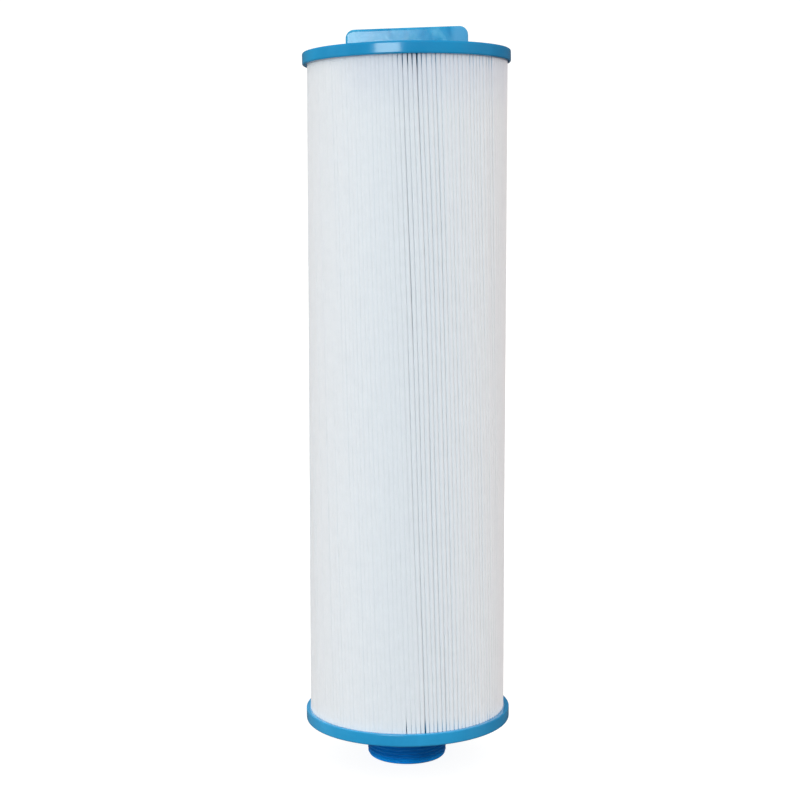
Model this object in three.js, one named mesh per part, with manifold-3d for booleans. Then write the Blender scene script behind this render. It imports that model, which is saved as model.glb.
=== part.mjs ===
// A top-load spa filter cartridge: a pleated sleeve on a slotted core, potted at both ends in cast
// polyurethane, with a lifting bar on the closed top and a male pipe thread under the open bottom.
// Millimetres, +Z up. The origin is the centre of the thread's end face, which the cartridge stands on.
import * as THREE from "three";
import { mergeVertices } from "three/addons/utils/BufferGeometryUtils.js";
import Module from "manifold-3d";

const wasm = await Module();
wasm.setup();

// Driving dimensions
const GAP = 0.3; // between pieces that touch

const THREAD_LENGTH = 24; // from the end face up to the bottom cap
const CAP_TO_CAP = 404.8; // underside of the bottom cap to the top cap's rim
const CAP_RADIUS = 62;
const CAP_PLATE = 1.8; // polyurethane beyond the ends of the pleats
const CAP_EDGE = 1.2; // rounding of a cap's outer edges
const BOTTOM_RIM = 7.4;
const TOP_RIM = 7.2;
const TOP_DISH = 1; // how far the top cap's floor lies below its rim
const TOP_RIM_WIDTH = 4;

const BAR_LENGTH = 72.5;
const BAR_THICKNESS = 12;
const BAR_RISE = 13.6; // above the top cap's rim
const BAR_CORNER = 5.2;
const BAR_EDGE = 1.6;

const MEDIA_RADIUS = 59.7;
const PLEATS = 138;
const SHEET = 0.55; // thickness of the media
const PLEAT_TIP = 1.35; // width of a pleat's outer fold
const ROOT_SLIT = 0.08; // between neighbouring folds at the core

const SEAM_VALLEY = -32; // the valley, counted from +X, in which the sheet's two ends meet
const SEAM_WIDTH = 8;
const SEAM_THICKNESS = 0.4;
const SEAM_RADIUS = 54;

const CORE_RADIUS = 26;
const CORE_WALL = 2.5;
const CORE_MODULES = 4;
const CORE_SPIGOT = 6; // length of the push-fit joint between modules
const SLOT_COLUMNS = 10;
const SLOT_ROWS = 3;
const SLOT_WIDTH = 6.4;
const SLOT_LENGTH = 20;
const SLOT_MARGIN = 10; // plain tube below the first row and above the last
const PLUG_THICKNESS = 2;

const BORE_RADIUS = 19;
const THREAD_RADIUS = 24.15; // 1-1/2 in pipe thread, 48.3 mm across the crests
const THREAD_PITCH = 25.4 / 11.5;
const THREAD_DEPTH = 1.4;
const THREAD_CHAMFER = 2.4;
const NECK_RADIUS = 23.6;
const NECK_LENGTH = 3.2; // plain, between the thread and the bottom cap
const FLANGE_THICKNESS = 3;
const BORE_MOUTH_RADIUS = 22.4;
const NOTCHES = 8;
const NOTCH_DEPTH = 1.8;
const NOTCH_WIDTH = 3;

const CAP_SIDES = 48;
const CORE_SIDES = 20;
const THREAD_SIDES = 32;

// Heights and radii that follow from them
const bottomCapZ = THREAD_LENGTH;
const topCapZ = THREAD_LENGTH + CAP_TO_CAP;
const topPlateZ = topCapZ - TOP_DISH - CAP_PLATE;
const insideLowZ = bottomCapZ + CAP_PLATE + GAP;
const insideHighZ = topPlateZ - GAP;
const pleatRoot = CORE_RADIUS + GAP;
const flangeTopZ = insideLowZ + FLANGE_THICKNESS;
const plugUndersideZ = insideHighZ - PLUG_THICKNESS;
const coreInner = CORE_RADIUS - CORE_WALL;
const spigotRadius = coreInner + (CORE_WALL - GAP) / 2;
const socketRadius = spigotRadius + GAP;
const coreLowZ = flangeTopZ + GAP;
const coreHighZ = plugUndersideZ - GAP - CORE_SPIGOT;
const moduleStep = (coreHighZ - coreLowZ + GAP) / CORE_MODULES;

const degrees = (value) => (value * Math.PI) / 180;

function finish(color, roughness) {
  return new THREE.MeshStandardMaterial({ color, roughness, metalness: 0 });
}

// Closed solids for cutting and joining
function toSolid(geometry) {
  const plain = geometry.clone();
  plain.deleteAttribute("normal");
  plain.deleteAttribute("uv");
  const merged = mergeVertices(plain, 1e-4);
  const mesh = new wasm.Mesh({
    numProp: 3,
    vertProperties: merged.attributes.position.array,
    triVerts: new Uint32Array(merged.index.array),
  });
  return new wasm.Manifold(mesh);
}

function toGeometry(solid) {
  const mesh = solid.getMesh();
  const geometry = new THREE.BufferGeometry();
  geometry.setAttribute("position", new THREE.BufferAttribute(mesh.vertProperties, 3));
  geometry.setIndex(new THREE.BufferAttribute(mesh.triVerts, 1));
  geometry.computeVertexNormals();
  return geometry;
}

// A ring or disc turned about Z from an outline of [radius, height] points, listed counter-clockwise
function turned(outline, sides) {
  const points = [...outline, outline[0]].map(([radius, z]) => new THREE.Vector2(radius, z));
  return new THREE.LatheGeometry(points, sides).rotateX(Math.PI / 2);
}

function named(name, geometry, material) {
  const mesh = new THREE.Mesh(geometry, material);
  mesh.name = name;
  return mesh;
}

// End caps
function bottomEndCap() {
  const inner = NECK_RADIUS + GAP;
  const outline = [
    [inner, bottomCapZ],
    [CAP_RADIUS - CAP_EDGE, bottomCapZ],
    [CAP_RADIUS, bottomCapZ + CAP_EDGE],
    [CAP_RADIUS, bottomCapZ + BOTTOM_RIM - CAP_EDGE / 2],
    [CAP_RADIUS - CAP_EDGE / 2, bottomCapZ + BOTTOM_RIM],
    [MEDIA_RADIUS + GAP, bottomCapZ + BOTTOM_RIM],
    [MEDIA_RADIUS + GAP, bottomCapZ + CAP_PLATE],
    [inner, bottomCapZ + CAP_PLATE],
  ];
  return turned(outline, CAP_SIDES);
}

function topCapDisc() {
  const floorRadius = CAP_RADIUS - TOP_RIM_WIDTH;
  const floorZ = topCapZ - TOP_DISH;
  const outline = [
    [0, topPlateZ],
    [MEDIA_RADIUS + GAP, topPlateZ],
    [MEDIA_RADIUS + GAP, topCapZ - TOP_RIM],
    [CAP_RADIUS - CAP_EDGE / 2, topCapZ - TOP_RIM],
    [CAP_RADIUS, topCapZ - TOP_RIM + CAP_EDGE / 2],
    [CAP_RADIUS, topCapZ - CAP_EDGE],
    [CAP_RADIUS - CAP_EDGE, topCapZ],
    [floorRadius + TOP_DISH / 2, topCapZ],
    [floorRadius, floorZ],
    [0, floorZ],
  ];
  return turned(outline, CAP_SIDES);
}

// A slab with rounded top corners and softened edges, standing on its foot
function liftingBar() {
  const halfLength = BAR_LENGTH / 2 - BAR_EDGE;
  const corner = BAR_CORNER - BAR_EDGE;
  const cornerX = halfLength - corner;
  const cornerZ = topCapZ + BAR_RISE - BAR_CORNER;
  const foot = topPlateZ + BAR_EDGE + GAP;
  const shape = new THREE.Shape();
  shape.moveTo(-halfLength, foot);
  shape.lineTo(halfLength, foot);
  shape.lineTo(halfLength, cornerZ);
  shape.absarc(cornerX, cornerZ, corner, 0, Math.PI / 2);
  shape.absarc(-cornerX, cornerZ, corner, Math.PI / 2, Math.PI);
  const flatDepth = BAR_THICKNESS - 2 * BAR_EDGE;
  const slab = new THREE.ExtrudeGeometry(shape, {
    depth: flatDepth,
    curveSegments: 5,
    bevelThickness: BAR_EDGE,
    bevelSize: BAR_EDGE,
    bevelSegments: 2,
  });
  return slab.translate(0, 0, -flatDepth / 2).rotateX(Math.PI / 2);
}

function topEndCap() {
  return toGeometry(toSolid(topCapDisc()).add(toSolid(liftingBar())));
}

// Core
function slotCutter(column, row) {
  const usable = moduleStep - GAP - 2 * SLOT_MARGIN;
  const rowStep = (usable - SLOT_LENGTH) / (SLOT_ROWS - 1);
  const z = SLOT_MARGIN + SLOT_LENGTH / 2 + row * rowStep;
  const facet = 360 / CORE_SIDES;
  const angle = degrees(column * (360 / SLOT_COLUMNS) + facet / 2);
  const box = new THREE.BoxGeometry(3 * CORE_WALL, SLOT_WIDTH, SLOT_LENGTH);
  return box.translate(CORE_RADIUS - CORE_WALL / 2, 0, z).rotateZ(angle);
}

// One slotted tube with a socket at its foot and a spigot at its head
function coreModule() {
  const height = moduleStep - GAP;
  const outline = [
    [socketRadius, 0],
    [CORE_RADIUS, 0],
    [CORE_RADIUS, height],
    [spigotRadius, height],
    [spigotRadius, height + CORE_SPIGOT],
    [coreInner, height + CORE_SPIGOT],
    [coreInner, CORE_SPIGOT + GAP],
    [socketRadius, CORE_SPIGOT + GAP],
  ];
  let tube = toSolid(turned(outline, CORE_SIDES));
  for (let column = 0; column < SLOT_COLUMNS; column += 1) {
    for (let row = 0; row < SLOT_ROWS; row += 1) {
      tube = tube.subtract(toSolid(slotCutter(column, row)));
    }
  }
  return toGeometry(tube);
}

// A lid whose skirt goes down over the top module's spigot
function corePlug() {
  const outline = [
    [0, plugUndersideZ],
    [socketRadius, plugUndersideZ],
    [socketRadius, coreHighZ + GAP],
    [CORE_RADIUS, coreHighZ + GAP],
    [CORE_RADIUS, insideHighZ],
    [0, insideHighZ],
  ];
  return turned(outline, CORE_SIDES);
}

// Media: one sheet folded into pleats and closed into a ring
function onCircle(radius, angle) {
  return new THREE.Vector2(radius * Math.cos(angle), radius * Math.sin(angle));
}

function pleatedMedia() {
  const step = (2 * Math.PI) / PLEATS;
  const tipHalf = PLEAT_TIP / 2 / MEDIA_RADIUS;
  const rootHalf = step / 2 - ROOT_SLIT / 2 / pleatRoot;
  const outer = [];
  const inner = [];
  for (let pleat = 0; pleat < PLEATS; pleat += 1) {
    const tip = pleat * step;
    const valley = tip + step / 2;
    outer.push(onCircle(MEDIA_RADIUS, tip - tipHalf));
    outer.push(onCircle(MEDIA_RADIUS, tip + tipHalf));
    outer.push(onCircle(pleatRoot + SHEET, valley));
    inner.push(onCircle(MEDIA_RADIUS - SHEET, tip));
    inner.push(onCircle(pleatRoot, valley - rootHalf));
    inner.push(onCircle(pleatRoot, valley + rootHalf));
  }
  const ring = new THREE.Shape(outer);
  ring.holes.push(new THREE.Path(inner));
  const depth = insideHighZ - insideLowZ;
  return new THREE.ExtrudeGeometry(ring, { depth, bevelEnabled: false }).translate(0, 0, insideLowZ);
}

// The adhesive strip between the sheet's two end panels
function seamStrip() {
  const length = insideHighZ - insideLowZ;
  const angle = ((SEAM_VALLEY + 0.5) * 2 * Math.PI) / PLEATS;
  const strip = new THREE.BoxGeometry(SEAM_WIDTH, SEAM_THICKNESS, length);
  return strip.translate(SEAM_RADIUS, 0, insideLowZ + length / 2).rotateZ(angle);
}

// Adapter
function helixPoint(turn, radius, z) {
  const angle = 2 * Math.PI * turn;
  return [radius * Math.cos(angle), radius * Math.sin(angle), z + turn * THREAD_PITCH];
}

// A rod with a right-hand V thread all along it: a crest line and a root line half a pitch above it,
// joined by two flanks, with a cone over each end
function threadedRod(lowZ, turns) {
  const last = turns * THREAD_SIDES;
  const lastRoot = last - THREAD_SIDES;
  const positions = [];
  for (let i = 0; i <= last; i += 1) {
    positions.push(...helixPoint(i / THREAD_SIDES, THREAD_RADIUS, lowZ));
  }
  for (let i = 0; i <= lastRoot; i += 1) {
    const rootRadius = THREAD_RADIUS - THREAD_DEPTH;
    positions.push(...helixPoint(i / THREAD_SIDES, rootRadius, lowZ + THREAD_PITCH / 2));
  }
  positions.push(0, 0, lowZ - THREAD_PITCH);
  positions.push(0, 0, lowZ + (turns + 1) * THREAD_PITCH);
  const root = (i) => last + 1 + i;
  const lowTip = root(lastRoot) + 1;
  const highTip = lowTip + 1;
  const triangles = [];
  for (let i = 0; i < lastRoot; i += 1) {
    const above = i + THREAD_SIDES;
    triangles.push(i, i + 1, root(i + 1), i, root(i + 1), root(i));
    triangles.push(root(i), root(i + 1), above + 1, root(i), above + 1, above);
  }
  for (let i = 0; i < THREAD_SIDES; i += 1) {
    triangles.push(lowTip, i + 1, i);
    triangles.push(highTip, lastRoot + i, lastRoot + i + 1);
  }
  triangles.push(lowTip, 0, root(0), lowTip, root(0), THREAD_SIDES);
  triangles.push(highTip, root(lastRoot), lastRoot, highTip, last, root(lastRoot));
  const mesh = new wasm.Mesh({
    numProp: 3,
    vertProperties: new Float32Array(positions),
    triVerts: new Uint32Array(triangles),
  });
  return new wasm.Manifold(mesh);
}

// The space that the thread keeps: chamfered at the end face and cut off square at the neck
function threadEnvelope(threadTopZ) {
  const outside = THREAD_RADIUS + THREAD_CHAMFER;
  const outline = [
    [0, 0],
    [THREAD_RADIUS - THREAD_CHAMFER, 0],
    [outside, 2 * THREAD_CHAMFER],
    [outside, threadTopZ],
    [0, threadTopZ],
  ];
  return toSolid(turned(outline, THREAD_SIDES));
}

function neckFlangeAndSpigot(threadTopZ, spigotTopZ) {
  const outline = [
    [0, threadTopZ - THREAD_PITCH / 2],
    [NECK_RADIUS, threadTopZ - THREAD_PITCH / 2],
    [NECK_RADIUS, insideLowZ],
    [CORE_RADIUS, insideLowZ],
    [CORE_RADIUS, flangeTopZ],
    [spigotRadius, flangeTopZ],
    [spigotRadius, spigotTopZ],
    [0, spigotTopZ],
  ];
  return toSolid(turned(outline, THREAD_SIDES));
}

// The bore, which widens through the spigot towards the core
function boreCutter(spigotTopZ) {
  const outline = [
    [0, -GAP],
    [BORE_RADIUS, -GAP],
    [BORE_RADIUS, insideLowZ],
    [BORE_MOUTH_RADIUS, spigotTopZ + GAP],
    [0, spigotTopZ + GAP],
  ];
  return toSolid(turned(outline, THREAD_SIDES));
}

// A notch in the flange's edge, which keys it against turning
function flangeNotch(index) {
  const box = new THREE.BoxGeometry(2 * NOTCH_DEPTH, NOTCH_WIDTH, 2 * FLANGE_THICKNESS);
  return toSolid(box.translate(CORE_RADIUS, 0, flangeTopZ).rotateZ(degrees((index * 360) / NOTCHES)));
}

function threadedAdapter() {
  const threadTopZ = THREAD_LENGTH - NECK_LENGTH;
  const spigotTopZ = flangeTopZ + CORE_SPIGOT;
  const turns = Math.ceil(threadTopZ / THREAD_PITCH) + 3;
  let body = threadedRod(-1.5 * THREAD_PITCH, turns).intersect(threadEnvelope(threadTopZ));
  body = body.add(neckFlangeAndSpigot(threadTopZ, spigotTopZ));
  body = body.subtract(boreCutter(spigotTopZ));
  for (let index = 0; index < NOTCHES; index += 1) {
    body = body.subtract(flangeNotch(index));
  }
  return toGeometry(body);
}

// Assembly
const group = new THREE.Group();
const castBlue = () => finish(0x1e91c8, 0.25);
const mouldedWhite = () => finish(0xe4e6e4, 0.45);

group.add(named("bottom_end_cap", bottomEndCap(), castBlue()));
group.add(named("threaded_adapter", threadedAdapter(), finish(0x04529a, 0.35)));
for (let index = 0; index < CORE_MODULES; index += 1) {
  const module = named(`core_module_${index + 1}`, coreModule(), mouldedWhite());
  module.position.z = coreLowZ + index * moduleStep;
  group.add(module);
}
group.add(named("core_plug", corePlug(), mouldedWhite()));
group.add(named("pleated_media", pleatedMedia(), finish(0xe2e8ec, 0.9)));
group.add(named("seam_strip", seamStrip(), finish(0xe9e4d2, 0.5)));
group.add(named("top_end_cap", topEndCap(), castBlue()));

export default group;
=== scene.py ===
"""The look of a pleated spa filter cartridge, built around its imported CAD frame."""

import math

import bpy
import numpy as np
from mathutils import Matrix, Vector


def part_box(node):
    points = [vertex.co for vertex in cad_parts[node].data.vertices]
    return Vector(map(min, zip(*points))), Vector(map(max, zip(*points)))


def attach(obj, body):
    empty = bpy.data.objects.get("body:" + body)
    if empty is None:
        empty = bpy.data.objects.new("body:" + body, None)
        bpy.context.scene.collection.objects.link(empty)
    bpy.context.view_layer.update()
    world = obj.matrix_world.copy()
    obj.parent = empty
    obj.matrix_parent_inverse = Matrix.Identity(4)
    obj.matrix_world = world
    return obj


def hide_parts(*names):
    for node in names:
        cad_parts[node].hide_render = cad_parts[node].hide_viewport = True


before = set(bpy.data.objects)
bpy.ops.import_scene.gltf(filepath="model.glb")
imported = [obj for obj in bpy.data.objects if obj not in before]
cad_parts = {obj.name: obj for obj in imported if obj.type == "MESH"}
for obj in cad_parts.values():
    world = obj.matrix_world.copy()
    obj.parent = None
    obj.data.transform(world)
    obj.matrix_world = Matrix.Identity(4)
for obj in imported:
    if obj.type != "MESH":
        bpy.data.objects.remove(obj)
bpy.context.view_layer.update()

MM = 0.001
TAU = 2 * math.pi

# ---------------------------------------------------------------- sizes, from the frame
bottom_low, bottom_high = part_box("bottom_end_cap")
top_low, top_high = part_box("top_end_cap")
media_low, media_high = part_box("pleated_media")
plug_low, plug_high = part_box("core_plug")
adapter_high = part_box("threaded_adapter")[1]
modules = [f"core_module_{number}" for number in range(1, 5)]

GAP = 0.3 * MM  # between pieces that touch

CAP_R = bottom_high.x
BOTTOM_Z = bottom_low.z
BOTTOM_RIM_Z = bottom_high.z
BAR_TOP_Z = top_high.z
BAR_RISE = 13.6 * MM
RIM_Z = BAR_TOP_Z - BAR_RISE
TOP_UNDER_Z = top_low.z
FLOOR_Z = RIM_Z - 1 * MM  # the top cap's floor, a little below its rim
PLATE = 1.8 * MM  # resin beyond the ends of the pleats
MEDIA_R = media_high.x
CORE_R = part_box(modules[0])[1].x
CORE_IN_R = CORE_R - 2.5 * MM
MID_Z = (BOTTOM_RIM_Z + TOP_UNDER_Z) / 2
SLEEVE = TOP_UNDER_Z - BOTTOM_RIM_Z

BAR_HALF = 36.25 * MM
BAR_HALF_THICK = 6 * MM
BAR_CORNER = 5.2 * MM
BAR_EDGE = 1.6 * MM
BAR_TILT = 0.012  # its top's rise along X
BAR_BOW = 0.08  # the share of its thickness that its ends lose
FOOT_FILLET = 2 * MM

TOP_LEAN, BOTTOM_LEAN = 0.0174, 0.01  # how far the caps tip sideways
TOP_SHIFT, BOTTOM_SHIFT = -0.55 * MM, 0.45 * MM  # how far off centre their walls stand, along X
BOTTOM_GROWTH = 0.6 * MM  # how much the bottom cap's wall is larger in radius

CAMERA_YAW = math.radians(2.6)  # the photo looks at the bar from a little to one side

PLEATS = 138
SHEET = 0.5 * MM
SEAM_VALLEY = -32  # the valley that hides the seam, counted from +X
SEAM = SEAM_VALLEY % PLEATS


# ---------------------------------------------------------------- mesh tools
def object_from(name, points, faces, sharp=32):
    """A smooth-shaded object whose edges are sharp where they turn by more than an angle."""
    mesh = bpy.data.meshes.new(name)
    mesh.from_pydata([tuple(p) for p in points], [], faces)
    mesh.validate()
    obj = bpy.data.objects.new(name, mesh)
    bpy.context.scene.collection.objects.link(obj)
    mesh.shade_smooth()
    if sharp:
        mesh.set_sharp_from_angle(angle=math.radians(sharp))
    return obj


def loft(name, rings, closed=False, sharp=32):
    """A skin over rings of equal length, closed into a loop or shut by a flat face at each end."""
    rings = np.asarray(rings, float)
    rows, columns = rings.shape[:2]
    index = np.arange(rows * columns).reshape(rows, columns)
    beside = np.roll(index, -1, 1)
    if closed:
        low, low_beside = index, beside
        high, high_beside = np.roll(index, -1, 0), np.roll(beside, -1, 0)
    else:
        low, low_beside, high, high_beside = index[:-1], beside[:-1], index[1:], beside[1:]
    faces = np.stack([low, low_beside, high_beside, high], -1).reshape(-1, 4).tolist()
    if not closed:
        faces.append(index[0, ::-1].tolist())
        faces.append(index[-1].tolist())
    return object_from(name, rings.reshape(-1, 3), faces, sharp)


def rounded(corners, steps=6):
    """An outline's points, with each (r, z, radius) corner rounded off."""
    points = []
    count = len(corners)
    for i, (r, z, radius) in enumerate(corners):
        here = np.array([r, z])
        if radius == 0:
            points.append(here)
            continue
        before = np.array(corners[i - 1][:2]) - here
        after = np.array(corners[(i + 1) % count][:2]) - here
        start = here + before / np.linalg.norm(before) * radius
        end = here + after / np.linalg.norm(after) * radius
        for t in np.linspace(0, 1, steps + 1):
            points.append((1 - t) ** 2 * start + 2 * t * (1 - t) * here + t**2 * end)
    return np.array(points)


def circle(radius, z, sides):
    """A level ring round the axis."""
    angle = np.arange(sides) * TAU / sides
    return np.stack([radius * np.cos(angle), radius * np.sin(angle), np.full(sides, z)], -1)


def turned(name, corners, sides):
    """A closed outline of (r, z, radius) corners, turned round the axis."""
    return loft(name, [circle(r, z, sides) for r, z in rounded(corners)], closed=True)


def smoothstep(low, high, value):
    """0 at one value and 1 at the other, with a soft step between."""
    t = np.clip((value - low) / (high - low), 0, 1)
    return t * t * (3 - 2 * t)


# ---------------------------------------------------------------- materials
class Nodes:
    """A short way to write a material's nodes."""

    def __init__(self, name):
        self.material = bpy.data.materials.new(name)
        self.material.use_nodes = True
        self.tree = self.material.node_tree
        self.shader = self.tree.nodes["Principled BSDF"]
        self.place = self.add("ShaderNodeTexCoord").outputs["Object"]
        self.axes = None

    def add(self, kind, **settings):
        """A new node of one kind, with its settings."""
        node = self.tree.nodes.new(kind)
        for key, value in settings.items():
            setattr(node, key, value)
        return node

    def link(self, source, target):
        """A link from an output to an input."""
        self.tree.links.new(source, target)

    def stretched(self, scale):
        """Coordinates that a noise sees scaled differently along each axis."""
        node = self.add("ShaderNodeMapping")
        node.inputs["Scale"].default_value = scale
        self.link(self.place, node.inputs["Vector"])
        return node.outputs["Vector"]

    def noise(self, scale, detail=3.0, roughness=0.5, place=None, distortion=0.0):
        """A 0 to 1 noise value over the object."""
        node = self.add("ShaderNodeTexNoise")
        node.inputs["Scale"].default_value = scale
        node.inputs["Detail"].default_value = detail
        node.inputs["Roughness"].default_value = roughness
        node.inputs["Distortion"].default_value = distortion
        self.link(place or self.place, node.inputs["Vector"])
        return node.outputs["Fac"]

    def ramp(self, value, stops):
        """Colours by value, from (value, colour) stops."""
        node = self.add("ShaderNodeValToRGB")
        elements = node.color_ramp.elements
        while len(elements) < len(stops):
            elements.new(0.5)
        for element, (at, colour) in zip(elements, stops):
            element.position = at
            element.color = (*colour, 1)
        self.link(value, node.inputs["Fac"])
        return node.outputs["Color"]

    def spread(self, value, low, high):
        """A 0 to 1 value between two others."""
        node = self.add("ShaderNodeMapRange")
        node.inputs["To Min"].default_value = low
        node.inputs["To Max"].default_value = high
        self.link(value, node.inputs["Value"])
        return node.outputs["Result"]

    def step(self, axis, low, high):
        """0 under one place along an axis and 1 over another, with a soft step between."""
        if self.axes is None:
            self.axes = self.add("ShaderNodeSeparateXYZ")
            self.link(self.place, self.axes.inputs["Vector"])
        node = self.add("ShaderNodeMapRange", interpolation_type="SMOOTHSTEP")
        node.inputs["From Min"].default_value = low
        node.inputs["From Max"].default_value = high
        self.link(self.axes.outputs[axis], node.inputs["Value"])
        return node.outputs["Result"]

    def inside(self, outer, inner):
        """0 outside one radius and 1 inside another."""
        flat = self.add("ShaderNodeVectorMath", operation="MULTIPLY")
        flat.inputs[1].default_value = (1, 1, 0)
        self.link(self.place, flat.inputs[0])
        radius = self.add("ShaderNodeVectorMath", operation="LENGTH")
        self.link(flat.outputs["Vector"], radius.inputs[0])
        node = self.add("ShaderNodeMapRange", interpolation_type="SMOOTHSTEP")
        node.inputs["From Min"].default_value = outer
        node.inputs["From Max"].default_value = inner
        self.link(radius.outputs["Value"], node.inputs["Value"])
        return node.outputs["Result"]

    def mixed(self, factor, first, second, blend="MIX"):
        """Two colours mixed, each given as a socket or as a plain colour."""
        node = self.add("ShaderNodeMix", data_type="RGBA", blend_type=blend)
        for socket, value in (("Factor", factor), ("A", first), ("B", second)):
            if isinstance(value, bpy.types.NodeSocket):
                self.link(value, node.inputs[socket])
            elif socket == "Factor":
                node.inputs[socket].default_value = value
            else:
                node.inputs[socket].default_value = (*value, 1)
        return node.outputs["Result"]

    def bump(self, height, strength, distance, after=None):
        """A normal tilted by a height, and by an earlier bump's normal if there is one."""
        node = self.add("ShaderNodeBump")
        node.inputs["Strength"].default_value = strength
        node.inputs["Distance"].default_value = distance
        self.link(height, node.inputs["Height"])
        if after is not None:
            self.link(after, node.inputs["Normal"])
        return node.outputs["Normal"]

    def set(self, socket, value):
        """Gives one of the shader's inputs a value or a socket."""
        target = self.shader.inputs[socket]
        if isinstance(value, bpy.types.NodeSocket):
            self.link(value, target)
        else:
            target.default_value = value


def cast_polyurethane():
    """Glossy blue casting resin, a little cloudy, with faint flow waves and fine pits. Its colour
    also holds painted light and painted shade.
    """
    n = Nodes("cast_polyurethane")
    cloud = n.noise(26, 4, 0.55, distortion=0.6)
    top = n.ramp(cloud, [(0.3, (0.003, 0.265, 0.55)), (0.7, (0.006, 0.33, 0.65))])
    bottom = n.ramp(cloud, [(0.3, (0.013, 0.3, 0.59)), (0.7, (0.023, 0.36, 0.68))])
    # the bar's colour: lighter than the discs and mottled, partly the resin's cloud and partly
    # painted light through the bar and painted reflection on its face
    flow = n.noise(60, 6, 0.66, distortion=1.8)
    bar = n.ramp(
        flow,
        [(0.34, (0.007, 0.28, 0.54)), (0.52, (0.02, 0.35, 0.62)), (0.68, (0.07, 0.44, 0.68))],
    )
    # painted light: the bottom cap takes a lighter copy of the resin's colour than the top cap,
    # for the light it catches from below
    discs = n.mixed(n.step("Z", MID_Z - 10 * MM, MID_Z + 10 * MM), bottom, top)
    # painted shade darkens the caps towards +X, and painted light brightens them towards -X
    discs = n.mixed(n.step("X", 22 * MM, 60 * MM), discs, (0.7, 0.7, 0.75), "MULTIPLY")
    discs = n.mixed(n.step("X", -36 * MM, -60 * MM), discs, (3, 1.18, 1.13), "MULTIPLY")
    # painted light makes the bar's end towards +X paler, for the light its rounded end catches
    bar = n.mixed(n.step("X", 25 * MM, 29.5 * MM), bar, (0.08, 0.4, 0.67))
    n.set("Base Color", n.mixed(n.step("Z", RIM_Z, RIM_Z + 2.5 * MM), discs, bar))
    n.set("Roughness", n.spread(n.noise(160, 5, 0.65), 0.08, 0.24))
    n.set("IOR", 1.54)
    n.set("Specular IOR Level", 0.9)
    waves = n.bump(n.noise(75, 2, 0.5), 0.35, 0.0004)
    n.set("Normal", n.bump(n.noise(1500, 2, 0.6), 0.1, 0.00004, after=waves))
    return n.material


def adapter_plastic():
    """Satin dark blue moulded ABS, with painted shade in its colour."""
    n = Nodes("adapter_plastic")
    blue = n.ramp(n.noise(70, 3), [(0.3, (0.0006, 0.27, 0.76)), (0.7, (0.001, 0.34, 0.88))])
    # painted shade darkens the thread above its nose, where the cap shades it, and darkens it
    # towards +X
    blue = n.mixed(n.step("Z", 1.5 * MM, 5 * MM), blue, (0.5, 0.5, 0.6), "MULTIPLY")
    blue = n.mixed(n.step("X", -6 * MM, 16 * MM), blue, (0.66, 0.66, 0.7), "MULTIPLY")
    n.set("Base Color", blue)
    n.set("Roughness", n.spread(n.noise(240, 3, 0.6), 0.34, 0.5))
    n.set("IOR", 1.54)
    n.set("Specular IOR Level", 0.15)
    n.set("Normal", n.bump(n.noise(2600, 2, 0.6), 0.2, 0.00005))
    return n.material


def core_plastic():
    """Satin white moulded ABS with faint flow marks."""
    n = Nodes("core_plastic")
    flow = n.noise(1.0, 4, 0.5, place=n.stretched((90, 90, 14)))
    n.set("Base Color", n.ramp(flow, [(0.3, (0.70, 0.72, 0.70)), (0.7, (0.80, 0.815, 0.79))]))
    n.set("Roughness", n.spread(n.noise(200, 3, 0.6), 0.36, 0.5))
    n.set("Normal", n.bump(n.noise(2200, 2, 0.6), 0.2, 0.00005))
    return n.material


def spunbond_media():
    """White spunbond polyester: fibres laid at random, faint blotches where it is denser, and
    painted shade under the top cap.
    """
    n = Nodes("spunbond_media")
    blotch = n.noise(150, 4, 0.6)
    fibres = n.noise(1.0, 3, 0.65, place=n.stretched((2600, 2600, 520)), distortion=1.2)
    cross = n.noise(1.0, 3, 0.65, place=n.stretched((1100, 1100, 1700)), distortion=1.6)
    web = n.ramp(blotch, [(0.28, (0.805, 0.828, 0.855)), (0.72, (0.835, 0.857, 0.883))])
    laid = n.ramp(fibres, [(0.25, (0.955, 0.962, 0.968)), (0.6, (1, 1, 1))])
    colour = n.mixed(1.0, web, laid, "MULTIPLY")
    # painted shade greys the web a little under the top cap, except towards -X
    painted_cap_shade = n.add("ShaderNodeMath", operation="MULTIPLY")
    n.link(n.step("Z", TOP_UNDER_Z - 38 * MM, TOP_UNDER_Z), painted_cap_shade.inputs[0])
    n.link(n.step("X", -44 * MM, -20 * MM), painted_cap_shade.inputs[1])
    colour = n.mixed(painted_cap_shade.outputs["Value"], colour, (0.9, 0.91, 0.95), "MULTIPLY")
    # resin has crept a little way up and down between the folds from the caps
    wicked = n.add("ShaderNodeMath", operation="MAXIMUM")
    n.link(n.step("Z", TOP_UNDER_Z - 9 * MM, TOP_UNDER_Z - 1 * MM), wicked.inputs[0])
    n.link(n.step("Z", BOTTOM_RIM_Z + 9 * MM, BOTTOM_RIM_Z + 1 * MM), wicked.inputs[1])
    between = n.add("ShaderNodeMath", operation="MULTIPLY")
    n.link(wicked.outputs["Value"], between.inputs[0])
    n.link(n.inside(MEDIA_R - 0.5 * MM, MEDIA_R - 1.1 * MM), between.inputs[1])
    n.set("Base Color", n.mixed(between.outputs["Value"], colour, (0.12, 0.42, 0.62)))
    n.set("Roughness", n.spread(blotch, 0.72, 0.9))
    n.set("Specular IOR Level", 0.25)
    n.set("Sheen Weight", 0.08)
    n.set("Sheen Roughness", 0.5)
    first = n.bump(fibres, 0.22, 0.00008)
    n.set("Normal", n.bump(cross, 0.2, 0.00008, after=first))
    return n.material


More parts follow.
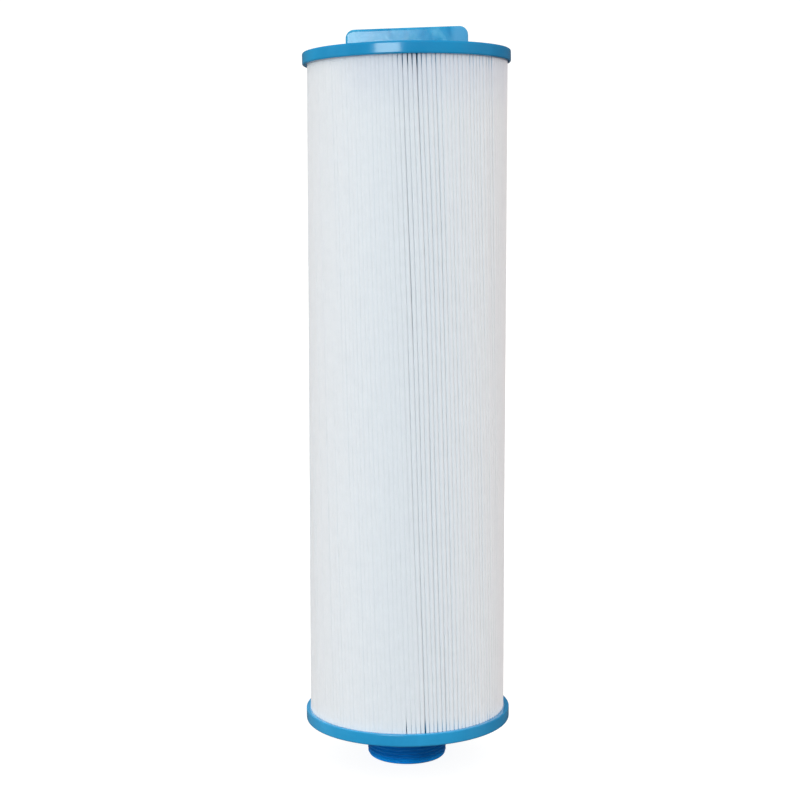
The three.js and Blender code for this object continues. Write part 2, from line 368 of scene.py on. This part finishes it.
def seam_adhesive():
    """Cloudy cream hot-melt adhesive."""
    n = Nodes("seam_adhesive")
    cloud = n.noise(240, 4)
    n.set("Base Color", n.ramp(cloud, [(0.3, (0.77, 0.765, 0.72)), (0.7, (0.84, 0.835, 0.79))]))
    n.set("Roughness", n.spread(n.noise(300, 2), 0.3, 0.5))
    n.set("Normal", n.bump(n.noise(500, 3), 0.4, 0.0002))
    return n.material


finishes = {
    "cast_polyurethane": cast_polyurethane(),
    "adapter_plastic": adapter_plastic(),
    "core_plastic": core_plastic(),
    "spunbond_media": spunbond_media(),
    "seam_adhesive": seam_adhesive(),
}


def place(obj, node, slot):
    """The piece stands for its CAD node, in that node's finish."""
    obj.data.materials.clear()
    obj.data.materials.append(finishes[slot])
    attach(obj, "root")
    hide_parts(node)
    return obj


# ---------------------------------------------------------------- pleated sleeve
CREEP = 0.0343  # the pleats' lean, sideways over height
CREEP_START = -1.3 * MM  # at the middle of the sleeve
NIPPED = 13 * MM  # how far from a cap its hold on the folds is felt
# valleys that stand open near the seam: how many past it, and the extra half width in mm
OPEN_VALLEYS = ((0, 0.05), (3, 0.1), (5, 0.05), (7, 0.06), (10, 0.05), (14, 0.03))


def twist(z):
    """How far round the pleats have crept at a height. The hand-fed sleeve leans a little."""
    down = (TOP_UNDER_Z - np.clip(z, BOTTOM_RIM_Z, TOP_UNDER_Z)) / SLEEVE
    arc = SLEEVE * CREEP * (down - 0.5) + CREEP_START
    return arc / MEDIA_R


def field(rng, heights, finest):
    """A smooth random value for each pleat and height, about 1 either way."""
    layers = 4
    round_it = np.arange(PLEATS) * TAU / PLEATS
    along = (heights - BOTTOM_RIM_Z) / SLEEVE
    total = np.zeros((len(heights), PLEATS))
    for waves in range(1, finest + 1):
        for layer in range(layers):
            phase, shift, size = rng.uniform(0, TAU), rng.uniform(0, TAU), rng.normal()
            total += size * np.outer(
                np.cos(layer * math.pi * along + shift), np.cos(waves * round_it + phase)
            )
    return total / total.std()


def sleeve_heights():
    """Heights to model the pleats at, closer together near the caps."""
    near = np.array([0, 1.2, 3, 5, 8, 12, 17, 24]) * MM
    inside_cap = 0.4 * MM
    low = BOTTOM_RIM_Z - inside_cap + near
    high = TOP_UNDER_Z + inside_cap - near[::-1]
    middle = np.linspace(low[-1], high[0], 20)[1:-1]
    return np.concatenate([[media_low.z], low, middle, high, [media_high.z]])


def half_gaps(z, from_seam, apart, loose, slack, pinch):
    """Half the width of the valley after each pleat, in millimetres."""
    gap = 0.002 + 0.004 * apart + 0.015 * (slack - 0.9).clip(0) * apart
    gap = gap + loose * 0.05 * (slack - 0.3).clip(0)
    for past, width in OPEN_VALLEYS:
        valley = (SEAM + past) % PLEATS
        gap[:, valley] += width * (0.75 + 0.35 * slack[:, valley]).clip(0.1)
    # the gap at the seam comes and goes down the sleeve
    down = (TOP_UNDER_Z - z) / SLEEVE
    gap[:, SEAM] += 0.09 * np.exp(-(((down - 0.35) / 0.07) ** 2))
    gap[:, SEAM] += 0.08 * smoothstep(0.6, 0.9, down)
    gap[:, [SEAM - 4, SEAM]] += 0.22 * pinch * (z < MID_Z)[:, None]
    # next to a cap the folds are nipped together, and gape by the seam
    gape_high = np.exp(-(((from_seam - 1.8) / 2.3) ** 2))
    gape_low = 0.5 * np.exp(-(((from_seam + 1.2) / 2.6) ** 2))
    gape = np.where((z > MID_Z)[:, None], gape_high, gape_low)
    nipped = (0.012 + 0.012 * slack.clip(-1)) * (0.4 + 0.6 * apart) + 0.27 * gape
    return gap + pinch * nipped


def pleated_sleeve():
    """One sheet, folded round the core, whose folds touch in places and stand apart in others."""
    rng = np.random.default_rng(11)
    z = sleeve_heights()
    step = TAU / PLEATS
    pleat = np.arange(PLEATS)
    to_cap = np.minimum(z - BOTTOM_RIM_Z, TOP_UNDER_Z - z)
    pinch = (1 - smoothstep(0, NIPPED, to_cap))[:, None]

    wander = 0.30 * field(rng, z, 7) + 0.17 * field(rng, z, 60)
    slack = field(rng, z, 70)
    reach = field(rng, z, 50)
    from_seam = (pleat - SEAM + PLEATS // 2) % PLEATS - PLEATS // 2
    # 0 where the pleats lie tight, on one side of the seam, and 1 where they stand apart
    apart = 1 - smoothstep(-46, -38, from_seam) * (1 - smoothstep(-4, 3, from_seam))
    # and loosest by the seam
    loose = np.exp(-(((from_seam - 2) / 6) ** 2)) * (0.3 + 0.7 * apart)

    # each fold runs from the valley before it to the valley after it
    valley = (pleat + 0.5) * step + twist(z)[:, None] + wander * MM / MEDIA_R
    gap = half_gaps(z, from_seam, apart, loose, slack, pinch) * MM / MEDIA_R
    begin = np.roll(valley + gap, 1, 1)
    begin[:, 0] -= TAU
    end = valley - gap
    centre = (begin + end) / 2
    half = (end - begin) / 2 * MEDIA_R
    tip = MEDIA_R - (0.16 + 0.05 * reach).clip(0) * MM
    # a fold's depth over its half width: a tight one is flat and a loose one is round
    roundness = 0.1 + 0.02 * reach + (0.29 + 0.08 * reach) * apart + 0.24 * loose
    roundness = roundness + 0.1 * pinch * apart
    deep = roundness.clip(0.03, 1) * half
    root = CORE_R + GAP
    lane = pleat * step + twist(z)[:, None]

    def face(width, depth, floor, floor_half, back=0.0):
        """One side of the sheet at every height: down to the core and back out over each fold."""
        points = [(lane - floor_half / floor, np.full_like(lane, floor))]
        for turn in np.radians(np.linspace(-90, 90, 7)):
            ahead = tip - deep - back + depth * math.cos(turn)
            points.append((centre + width * math.sin(turn) / MEDIA_R, ahead))
        points.append((lane + floor_half / floor, np.full_like(lane, floor)))
        angle = np.stack([a for a, _ in points], -1).reshape(len(z), -1)
        radius = np.stack([r for _, r in points], -1).reshape(len(z), -1)
        height = np.broadcast_to(z[:, None], angle.shape)
        return np.stack([radius * np.cos(angle), radius * np.sin(angle), height], -1)

    outside = face(half, deep, root + SHEET, 0.56 * MM)
    inner_half = (half - SHEET).clip(0.12 * MM)
    inner_deep = (deep - 0.15 * MM).clip(0.05 * MM)
    inside = face(inner_half, inner_deep, root, 0.045 * MM, back=0.3 * MM)
    return loft("pleated_media", np.concatenate([outside, inside[::-1]]), closed=True, sharp=0)


place(pleated_sleeve(), "pleated_media", "spunbond_media")


def seam_strip():
    """A thin bead of adhesive down the seam's valley, between two folds."""
    z = sleeve_heights()[1:-1]
    centre = (SEAM_VALLEY + 0.5) * TAU / PLEATS + twist(z)
    inner, outer = 50 * MM, 56 * MM
    half = 0.17 * MM
    rings = []
    for angle, height in zip(centre, z):
        along = Vector((math.cos(angle), math.sin(angle), 0))
        across = Vector((-math.sin(angle), math.cos(angle), 0))
        section = [(inner, -half), (outer, -half), (outer + half, 0), (outer, half), (inner, half)]
        rings.append([along * r + across * s + Vector((0, 0, height)) for r, s in section])
    return loft("seam_strip", rings)


place(seam_strip(), "seam_strip", "seam_adhesive")


# ---------------------------------------------------------------- end caps
def rounded_rectangle(half_x, half_y, corner):
    """Points round a rectangle, always shared out alike, so that rings of any size match up."""
    straight_x, straight_y = half_x - corner, half_y - corner
    side, bend, half_end = 112, 24, 10

    def line(count, start, end):
        share = (np.arange(count) / count)[:, None]
        return np.array(start) + (np.array(end) - np.array(start)) * share

    def arc(centre, start):
        turn = np.radians(start + 90 * np.arange(bend) / bend)
        return np.array(centre) + corner * np.stack([np.cos(turn), np.sin(turn)], -1)

    return np.concatenate(
        [
            line(half_end, (half_x, 0), (half_x, straight_y)),
            arc((straight_x, straight_y), 0),
            line(side, (straight_x, half_y), (-straight_x, half_y)),
            arc((-straight_x, straight_y), 90),
            line(2 * half_end, (-half_x, straight_y), (-half_x, -straight_y)),
            arc((-straight_x, -straight_y), 180),
            line(side, (-straight_x, -half_y), (straight_x, -half_y)),
            arc((straight_x, -straight_y), 270),
            line(half_end, (half_x, -straight_y), (half_x, 0)),
        ]
    )


def lifted(flat, height):
    """A plan's points at one height, or at a height for each."""
    return np.column_stack([flat, np.broadcast_to(height, len(flat))])


def bowed(flat):
    """The bar's faces bow out a little in the middle."""
    return flat * np.column_stack(
        [np.ones(len(flat)), 1 - BAR_BOW * (flat[:, 0] / BAR_HALF) ** 2]
    )


def crown(flat):
    """The height of the bar's top over each point: its ends and long edges are rounded down."""
    end = (np.abs(flat[:, 0]) - (BAR_HALF - BAR_CORNER)).clip(0, BAR_CORNER)
    side = (np.abs(flat[:, 1]) - (BAR_HALF_THICK - BAR_EDGE)).clip(0, BAR_EDGE)
    drop = BAR_CORNER - np.sqrt((BAR_CORNER**2 - end**2).clip(0))
    drop += BAR_EDGE - np.sqrt((BAR_EDGE**2 - side**2).clip(0))
    return BAR_TOP_Z - drop + BAR_TILT * flat[:, 0]


def bar_plan(grown):
    """The outline of the bar's wall, or of its foot, which is wider all round."""
    return rounded_rectangle(BAR_HALF + grown, BAR_HALF_THICK + grown, BAR_EDGE + grown)


def top_cap():
    """A disc with a rim, a pocket for the pleats and a bar on its floor, as one skin."""
    well_r, well_z = 26.3 * MM, FLOOR_Z - PLATE  # over the core
    resin_r, resin_z = 60.1 * MM, TOP_UNDER_Z + 1.3 * MM  # between the pleats
    skirt_r = 60.5 * MM
    rim_r, floor_r = 58.6 * MM, 57.9 * MM
    outline = rounded(
        [
            (0.5 * MM, well_z, 0),
            (well_r, well_z, 0),
            (well_r, resin_z, 0),
            (resin_r, resin_z, 0.2 * MM),
            (skirt_r, TOP_UNDER_Z, 0.2 * MM),
            (CAP_R, TOP_UNDER_Z, 1.2 * MM),
            (CAP_R, RIM_Z, 1.3 * MM),
            (rim_r, RIM_Z, 0.8 * MM),
            (floor_r, FLOOR_Z, 0.5 * MM),
            (50 * MM, FLOOR_Z, 0),
        ]
    )
    # the disc's points are bunched as the bar's are, so that the floor between them lies even
    foot = bar_plan(FOOT_FILLET)
    bunching = 2.6
    way = np.unwrap(np.arctan2(foot[:, 1] * bunching, foot[:, 0]))
    unit = np.stack([np.cos(way), np.sin(way)], -1)
    rings = [lifted(r * unit, z) for r, z in outline]

    floor_edge = rings[-1][:, :2]
    for t in (0.2, 0.4, 0.6, 0.8, 0.93):
        rings.append(lifted(floor_edge * (1 - t) + foot * t, FLOOR_Z))
    for turn in np.radians(np.linspace(0, 90, 7)):
        out = FOOT_FILLET * (1 - math.sin(turn))
        up = FOOT_FILLET * (1 - math.cos(turn))
        rings.append(lifted(bar_plan(out), FLOOR_Z + up))

    wall = bar_plan(0)
    wall_top = crown(wall)
    wall_foot = FLOOR_Z + FOOT_FILLET
    for t in (0.12, 0.3, 0.5, 0.7, 0.88):
        rings.append(lifted(bowed(wall), wall_foot + (wall_top - wall_foot) * t))
    for turn in np.radians(np.linspace(90, 0, 10)):
        half_x = BAR_HALF - BAR_CORNER * (1 - math.sin(turn))
        half_y = BAR_HALF_THICK - BAR_EDGE * (1 - math.sin(turn))
        flat = rounded_rectangle(half_x, half_y, BAR_EDGE)
        rings.append(lifted(bowed(flat), crown(flat)))
    for t in (0.6, 0.25):
        half_x = (BAR_HALF - BAR_CORNER) * (0.4 + 0.6 * t)
        flat = rounded_rectangle(half_x, (BAR_HALF_THICK - BAR_EDGE) * t, 1 * MM * t)
        rings.append(lifted(flat, BAR_TOP_Z + BAR_TILT * flat[:, 0]))
    return loft("top_end_cap", rings)


def bottom_cap():
    """A disc with a hole for the adapter. The resin inside it comes nearly up to its rim."""
    resin_z = BOTTOM_RIM_Z - 0.35 * MM
    hole_r, resin_r = 23.75 * MM, 26.35 * MM
    return turned(
        "bottom_end_cap",
        [
            (hole_r, BOTTOM_Z, 0.3 * MM),
            (CAP_R, BOTTOM_Z, 1.3 * MM),
            (CAP_R, BOTTOM_RIM_Z, 0.7 * MM),
            (60.2 * MM, BOTTOM_RIM_Z, 0.3 * MM),
            (59.6 * MM, resin_z, 0),
            (resin_r, resin_z, 0),
            (resin_r, BOTTOM_Z + PLATE, 0),
            (hole_r, BOTTOM_Z + PLATE, 0.3 * MM),
        ],
        sides=360,
    )


def off_centre(obj, shifted, grown=0):
    """Moves a casting's outer wall sideways and out, as its mould did."""
    still_r, moved_r = 60.6 * MM, 61.2 * MM
    for vertex in obj.data.vertices:
        x, y, _ = vertex.co
        radius = math.hypot(x, y)
        share = float(smoothstep(still_r, moved_r, radius))
        vertex.co.x += share * (shifted + grown * x / radius)
        vertex.co.y += share * grown * y / radius
    return obj


def lean(obj, z, angle):
    """Tips a casting a little sideways about its centre, as it set in its mould."""
    centre = Matrix.Translation((0, 0, z))
    axis = Vector((math.sin(CAMERA_YAW), -math.cos(CAMERA_YAW), 0))
    obj.data.transform(centre @ Matrix.Rotation(angle, 4, axis) @ centre.inverted())
    return obj


top_casting = lean(off_centre(top_cap(), TOP_SHIFT), RIM_Z, TOP_LEAN)
place(top_casting, "top_end_cap", "cast_polyurethane")
bottom_casting = off_centre(bottom_cap(), BOTTOM_SHIFT, BOTTOM_GROWTH)
bottom_casting = lean(bottom_casting, BOTTOM_RIM_Z, BOTTOM_LEAN)
place(bottom_casting, "bottom_end_cap", "cast_polyurethane")


# ---------------------------------------------------------------- threaded adapter
def threaded_adapter():
    """A male pipe thread with a rounded nose, and the neck, flange and spigot above it."""
    sides = 180
    turn = np.arange(sides) / sides
    rings = []

    def ring(radius, z):
        radius = np.broadcast_to(radius, sides)
        x, y = radius * np.cos(turn * TAU), radius * np.sin(turn * TAU)
        rings.append(np.stack([x, y, np.full(sides, z)], -1))

    bore = 19 * MM
    crest, root, neck = 24.15 * MM, 22.85 * MM, 23.6 * MM
    pitch = 25.4 / 11.5 * MM
    thread_top = BOTTOM_Z - 3.2 * MM
    nose_r, nose_swell, nose_length = 21.4 * MM, 2.75 * MM, 3.4 * MM
    first_z, layer = 0.12 * MM, 0.13 * MM

    ring(bore, 0.5 * MM)
    ring(bore + 0.5 * MM, 0)
    ring(nose_r - 0.1 * MM, 0)
    for z in np.arange(first_z, thread_top, layer):
        phase = (z / pitch - turn) % 1
        height = 1 - np.abs(2 * phase - 1)
        # a little flat at the crest and at the root
        profile = np.clip((height - 0.12) / 0.72, 0, 1)
        fade = 1 - smoothstep(thread_top - 2.6 * MM, thread_top - 0.2 * MM, z)
        body = root + (crest - root) * profile * fade
        up = min(z / nose_length, 1)
        nose = nose_r + nose_swell * math.sqrt(up * (2 - up))
        ring(np.minimum(body, nose), z)
    ring(root, thread_top)
    ring(neck - 0.2 * MM, thread_top + 0.15 * MM)
    ring(neck, thread_top + 0.4 * MM)

    flange, spigot, edge = 26 * MM, 24.6 * MM, 0.2 * MM
    flange_low = BOTTOM_Z + PLATE + GAP
    flange_high = flange_low + 3 * MM
    for radius, z in [
        (neck, flange_low),
        (flange - edge, flange_low),
        (flange, flange_low + edge),
        (flange, flange_high - edge),
        (flange - edge, flange_high),
        (spigot, flange_high),
        (spigot, adapter_high.z - 0.4 * MM),
        (spigot - 0.3 * MM, adapter_high.z),
        (22.5 * MM, adapter_high.z),
        (bore, flange_low),
    ]:
        ring(radius, z)
    return loft("threaded_adapter", rings, closed=True, sharp=38)


place(threaded_adapter(), "threaded_adapter", "adapter_plastic")


# ---------------------------------------------------------------- core
SLOT_COLUMNS, SLOT_ROWS = 10, 3
SLOT_HALF_WIDTH, SLOT_HALF_LENGTH = 3.2 * MM, 10 * MM
SLOT_MARGIN = 10 * MM  # plain tube below the first row and above the last
SPIGOT_LENGTH = 6 * MM
SPIGOT_R = CORE_IN_R + 1.1 * MM


def slot_cutter(column, z):
    """The two ends of a round-ended slot's cutter, one inside the tube and one outside it."""
    lift = SLOT_HALF_LENGTH - SLOT_HALF_WIDTH
    points = []
    for turn in np.radians(np.arange(0, 360, 15)):
        high = SLOT_HALF_WIDTH * math.sin(turn) + (lift if turn < math.pi else -lift)
        points.append((SLOT_HALF_WIDTH * math.cos(turn), high))
    angle = math.radians(9 + column * 360 / SLOT_COLUMNS)
    along = Vector((math.cos(angle), math.sin(angle), 0))
    across = Vector((-math.sin(angle), math.cos(angle), 0))
    return [
        [along * radius + across * a + Vector((0, 0, z + b)) for a, b in points]
        for radius in (CORE_IN_R - 3 * MM, CORE_R + 3 * MM)
    ]


def slots(low_z, high_z):
    """All the cutters for one module, as one object."""
    points, faces = [], []
    first = low_z + SLOT_MARGIN + SLOT_HALF_LENGTH
    last = high_z - SLOT_MARGIN - SLOT_HALF_LENGTH
    for z in np.linspace(first, last, SLOT_ROWS):
        for column in range(SLOT_COLUMNS):
            ends = slot_cutter(column, z)
            start, count = len(points), len(ends[0])
            points += ends[0] + ends[1]
            a = list(range(start, start + count))
            b = list(range(start + count, start + 2 * count))
            for i in range(count):
                j = (i + 1) % count
                faces.append([a[i], a[j], b[j], b[i]])
            faces += [a[::-1], b]
    return object_from("cutter", points, faces, sharp=0)


def core_module(node):
    """A slotted tube with a socket at its foot and a spigot at its head."""
    low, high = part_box(node)
    socket_r = SPIGOT_R + GAP
    socket_z = low.z + SPIGOT_LENGTH + GAP
    shoulder = high.z - SPIGOT_LENGTH
    tube = turned(
        node + "_tube",
        [
            (socket_r, low.z, 0.2 * MM),
            (CORE_R, low.z, 0.3 * MM),
            (CORE_R, shoulder, 0.3 * MM),
            (SPIGOT_R, shoulder, 0),
            (SPIGOT_R, high.z, 0.3 * MM),
            (CORE_IN_R, high.z, 0.2 * MM),
            (CORE_IN_R, socket_z, 0.2 * MM),
            (socket_r, socket_z, 0),
        ],
        sides=80,
    )
    cutter = slots(low.z, shoulder)
    cut = tube.modifiers.new("slots", "BOOLEAN")
    cut.operation, cut.object, cut.solver = "DIFFERENCE", cutter, "EXACT"
    graph = bpy.context.evaluated_depsgraph_get()
    mesh = bpy.data.meshes.new_from_object(tube.evaluated_get(graph))
    bpy.data.objects.remove(tube)
    bpy.data.objects.remove(cutter)
    obj = bpy.data.objects.new(node + "_moulded", mesh)
    bpy.context.scene.collection.objects.link(obj)
    mesh.shade_smooth()
    mesh.set_sharp_from_angle(angle=math.radians(30))
    return obj


def core_plug():
    """A lid with a skirt that goes over the top module's spigot."""
    lid_z = plug_high.z - 2 * MM
    centre_r, skirt_in_r = 0.4 * MM, 24.9 * MM
    return turned(
        "core_plug_moulded",
        [
            (centre_r, lid_z, 0),
            (skirt_in_r, lid_z, 0),
            (skirt_in_r, plug_low.z, 0.2 * MM),
            (CORE_R, plug_low.z, 0.3 * MM),
            (CORE_R, plug_high.z, 0.4 * MM),
            (centre_r, plug_high.z, 0),
        ],
        sides=96,
    )


for module in modules:
    place(core_module(module), module, "core_plastic")
place(core_plug(), "core_plug", "core_plastic")


# ---------------------------------------------------------------- floor, light and camera
FLOOR_REACH = 12  # metres, far past the frame's edges
SKY_HIGH, SKY_LOW = 1.11, 0.2  # its strength above the horizon and below it
HORIZON = 0.12  # half the height of the soft step between them
SKY_MIRRORED = 0.09
SKY_SEEN = 1.1  # just past white, so that the background is even
CAMERA_AT = (-0.001, -0.9738, 0.3026)  # sideways, along the view, and above the bottom cap
CAMERA_DOWN = math.radians(6.2)
CAMERA_PAN = 0.0034
CAMERA_LENS = 72.5


def softbox(
    name, azimuth, elevation, distance, size, radiance, colour, lights=True, mirrored=True
):
    """A soft light aimed at the cartridge. Azimuth is from the camera, right positive."""
    data = bpy.data.lights.new(name, "AREA")
    data.shape = "RECTANGLE"
    data.size, data.size_y = size
    data.energy = radiance * math.pi * size[0] * size[1]
    data.color = colour
    light = bpy.data.objects.new(name, data)
    turn = math.radians(azimuth) + CAMERA_YAW
    rise = math.radians(elevation)
    away = math.cos(rise)
    back = Vector((math.sin(turn) * away, -math.cos(turn) * away, math.sin(rise)))
    light.location = Vector((0, 0, MID_Z)) + back * distance
    light.rotation_euler = back.to_track_quat("Z", "Y").to_euler()
    light.visible_diffuse = lights
    light.visible_glossy = mirrored
    bpy.context.scene.collection.objects.link(light)


def pale_floor():
    """A wide pale sheet that lets the background's white run on, and takes a faint shadow."""
    edge = circle(FLOOR_REACH, -0.02, 96)
    rings = [edge] + [circle(radius, 0, 96) for radius in (FLOOR_REACH, 3, 1, 0.3, 0.01)]
    floor = loft("floor", rings, sharp=0)
    n = Nodes("pale_floor")
    away = n.add("ShaderNodeVectorMath", operation="LENGTH")
    n.link(n.place, away.inputs[0])
    # it glows a little less near the cartridge, where its shadow falls
    glow = n.add("ShaderNodeMapRange", interpolation_type="SMOOTHSTEP")
    glow.inputs["From Min"].default_value = 0.3
    glow.inputs["From Max"].default_value = 1.6
    glow.inputs["To Min"].default_value = 0.9
    glow.inputs["To Max"].default_value = 1.0
    n.link(away.outputs["Value"], glow.inputs["Value"])
    grain = n.noise(4, 2)
    n.set("Base Color", n.ramp(grain, [(0.3, (0.18, 0.18, 0.18)), (0.7, (0.2, 0.2, 0.2))]))
    n.set("Roughness", 0.8)
    n.set("Emission Color", (1, 1, 1, 1))
    n.set("Emission Strength", glow.outputs["Result"])
    floor.data.materials.append(n.material)
    floor.visible_diffuse = False
    floor.visible_glossy = False


def studio_sky():
    """Bright above the horizon and dim below it, dim in reflections, and white to the camera."""
    world = bpy.data.worlds.new("studio")
    bpy.context.scene.world = world
    world.use_nodes = True
    tree = world.node_tree
    background = tree.nodes["Background"]
    background.inputs["Color"].default_value = (1, 1, 1, 1)
    ray = tree.nodes.new("ShaderNodeLightPath")
    where = tree.nodes.new("ShaderNodeTexCoord")
    split = tree.nodes.new("ShaderNodeSeparateXYZ")
    tree.links.new(where.outputs["Generated"], split.inputs["Vector"])

    sky = tree.nodes.new("ShaderNodeMapRange")
    sky.interpolation_type = "SMOOTHSTEP"
    sky.inputs["From Min"].default_value = -HORIZON
    sky.inputs["From Max"].default_value = HORIZON
    sky.inputs["To Min"].default_value = SKY_LOW
    sky.inputs["To Max"].default_value = SKY_HIGH
    tree.links.new(split.outputs["Z"], sky.inputs["Value"])

    def instead(kind, strength, otherwise):
        """One strength for one kind of ray, and another for the rest."""
        node = tree.nodes.new("ShaderNodeMapRange")
        node.inputs["To Max"].default_value = strength
        tree.links.new(ray.outputs[kind], node.inputs["Value"])
        tree.links.new(otherwise, node.inputs["To Min"])
        return node.outputs["Result"]

    mirrored = instead("Is Glossy Ray", SKY_MIRRORED, sky.outputs["Result"])
    seen = instead("Is Camera Ray", SKY_SEEN, mirrored)
    tree.links.new(seen, background.inputs["Strength"])


def photo_camera():
    """The photo's own view: level with the sleeve's upper part, and looking a little down."""
    data = bpy.data.cameras.new("camera")
    data.sensor_width = 36
    data.lens = CAMERA_LENS
    data.clip_start, data.clip_end = 0.05, 50
    camera = bpy.data.objects.new("camera", data)
    side, along, up = CAMERA_AT
    camera.location = Matrix.Rotation(CAMERA_YAW, 4, "Z") @ Vector((side, along, BOTTOM_Z + up))
    camera.rotation_euler = (math.radians(90) - CAMERA_DOWN, 0, CAMERA_YAW + CAMERA_PAN)
    bpy.context.scene.collection.objects.link(camera)
    return camera


# each light: azimuth, elevation, distance, width and height, radiance, colour
# the key lights the surfaces, and the glint is what they mirror of it
softbox("key_softbox", -20.2, 8, 1.9, (1.04, 0.92), 3.5, (0.69, 0.9, 1.02), mirrored=False)
softbox("glint_softbox", -19.7, 8, 1.88, (0.88, 0.92), 3.7, (0.98, 1.05, 0.94), lights=False)
softbox("left_softbox", -84, 0, 1.5, (0.9, 1.5), 0.8, (1.36, 1, 0.74), mirrored=False)
softbox("right_softbox", 84, 0, 1.5, (0.9, 1.5), 1.3, (1.29, 1, 0.86), mirrored=False)
pale_floor()
studio_sky()
bpy.context.scene.camera = photo_camera()
bpy.context.scene.view_settings.view_transform = "Standard"
bpy.context.scene.view_settings.look = "None"
